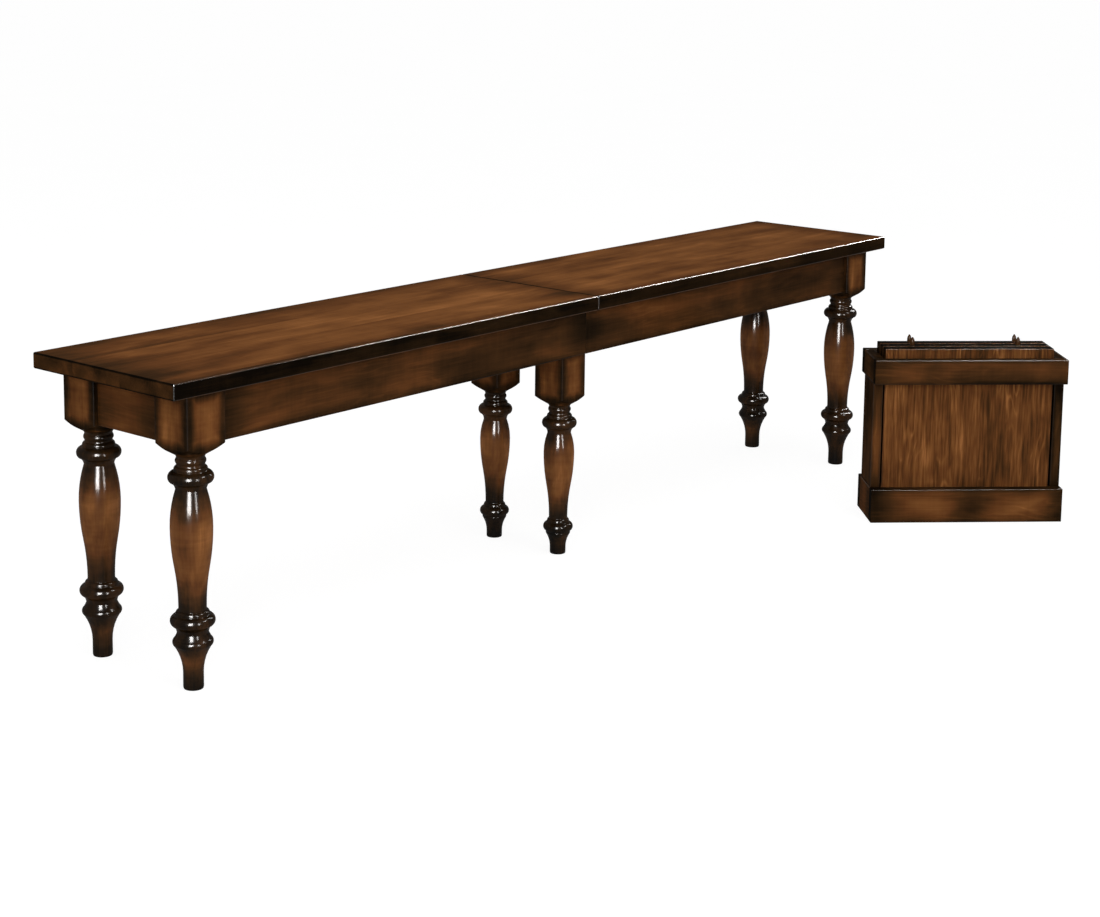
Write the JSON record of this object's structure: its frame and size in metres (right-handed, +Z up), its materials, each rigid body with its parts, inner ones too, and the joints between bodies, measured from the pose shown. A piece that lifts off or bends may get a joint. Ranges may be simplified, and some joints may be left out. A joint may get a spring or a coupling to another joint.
{
  "type": "extension dining bench",
  "caption": "Dark wood bench whose seat opens at the middle on geared slides, on turned legs, with spare leaves standing in an open storage box.",
  "frame": {"origin": "on the floor, midway between the two centre legs, under the middle of the closed seat", "axes": "+X along the bench towards the half beside the storage box, -Y towards the side where the storage box stands, +Z up"},
  "size_m": [1.8288, 0.7916, 0.46],
  "materials": {
    "seat_wood": "satin dark stain",
    "apron_wood": "satin dark stain",
    "leg_wood": "satin dark stain, darker in the turned recesses",
    "box_wood": "satin dark stain",
    "leaf_wood": "satin dark stain",
    "inner_wood": "sealed, unstained",
    "pin_wood": "plain turned dowel, stained dark brown",
    "slide_steel": "zinc plated",
    "fastener_steel": "zinc plated",
    "gear_nylon": "natural nylon"
  },
  "bodies": {
    "centre_frame": {"bolster_screws": "fastener_steel", "centre_bolster": "inner_wood", "centre_leg_back": "leg_wood", "centre_leg_front": "leg_wood", "centre_leg_screws": "fastener_steel", "centre_rail_back": "inner_wood", "centre_rail_front": "inner_wood", "gear_axle": "fastener_steel", "gear_plate": "slide_steel", "slide_stop_plates": "slide_steel"},
    "left_half": {"left_apron_back": "apron_wood", "left_apron_end": "apron_wood", "left_apron_front": "apron_wood", "left_corner_braces": "inner_wood", "left_leg_back": "leg_wood", "left_leg_bolts": "fastener_steel", "left_leg_front": "leg_wood", "left_rack": "slide_steel", "left_rack_block": "inner_wood", "left_rack_screws": "fastener_steel", "left_rail_back": "inner_wood", "left_rail_front": "inner_wood", "left_rail_screws": "fastener_steel", "left_stop_pegs": "inner_wood", "left_top": "seat_wood"},
    "right_half": {"right_apron_back": "apron_wood", "right_apron_end": "apron_wood", "right_apron_front": "apron_wood", "right_corner_braces": "inner_wood", "right_leg_back": "leg_wood", "right_leg_bolts": "fastener_steel", "right_leg_front": "leg_wood", "right_rack": "slide_steel", "right_rack_block": "inner_wood", "right_rack_screws": "fastener_steel", "right_rail_back": "inner_wood", "right_rail_front": "inner_wood", "right_rail_screws": "fastener_steel", "right_seam_pins": "pin_wood", "right_stop_pegs": "inner_wood", "right_top": "seat_wood"},
    "equaliser_gear": {"equaliser_gear": "gear_nylon"},
    "storage_box": {"box_base_back": "box_wood", "box_base_front": "box_wood", "box_base_left": "box_wood", "box_base_right": "box_wood", "box_floor": "box_wood", "box_rim_back": "box_wood", "box_rim_front": "box_wood", "box_rim_left": "box_wood", "box_rim_right": "box_wood", "box_side_left": "box_wood", "box_side_right": "box_wood"},
    "front_leaf": {"front_leaf": "leaf_wood"},
    "middle_leaf": {"middle_leaf": "leaf_wood", "middle_leaf_pins": "pin_wood"},
    "back_leaf": {"back_leaf": "leaf_wood", "back_leaf_pins": "pin_wood"}
  },
  "joints": [
    {"name": "left_half_slide", "type": "slide", "parent": "centre_frame", "child": "left_half", "axis": [-1, 0, 0], "range_m": [0, 0.4572]},
    {"name": "right_half_slide", "type": "slide", "parent": "centre_frame", "child": "right_half", "axis": [1, 0, 0], "range_m": [0, 0.4572]},
    {"name": "gear_spin", "type": "hinge", "parent": "centre_frame", "child": "equaliser_gear", "pos_m": [0, 0, 0.392], "axis": [0, 0, 1], "range_deg": [-1095, 0]},
    {"name": "storage_box_slide", "type": "slide", "parent": "centre_frame", "child": "storage_box", "axis": [0, -1, 0], "range_m": [0, 0.3]},
    {"name": "front_leaf_lift", "type": "slide", "parent": "storage_box", "child": "front_leaf", "axis": [0, 0, 1], "range_m": [0, 0.33]},
    {"name": "middle_leaf_lift", "type": "slide", "parent": "storage_box", "child": "middle_leaf", "axis": [0, 0, 1], "range_m": [0, 0.33]},
    {"name": "back_leaf_lift", "type": "slide", "parent": "storage_box", "child": "back_leaf", "axis": [0, 0, 1], "range_m": [0, 0.33]}
  ],
  "couplings": [
    {"joint": "right_half_slide", "follows": "left_half_slide", "ratio": 1},
    {"joint": "gear_spin", "follows": "left_half_slide", "rad_per_m": -41.667}
  ]
}
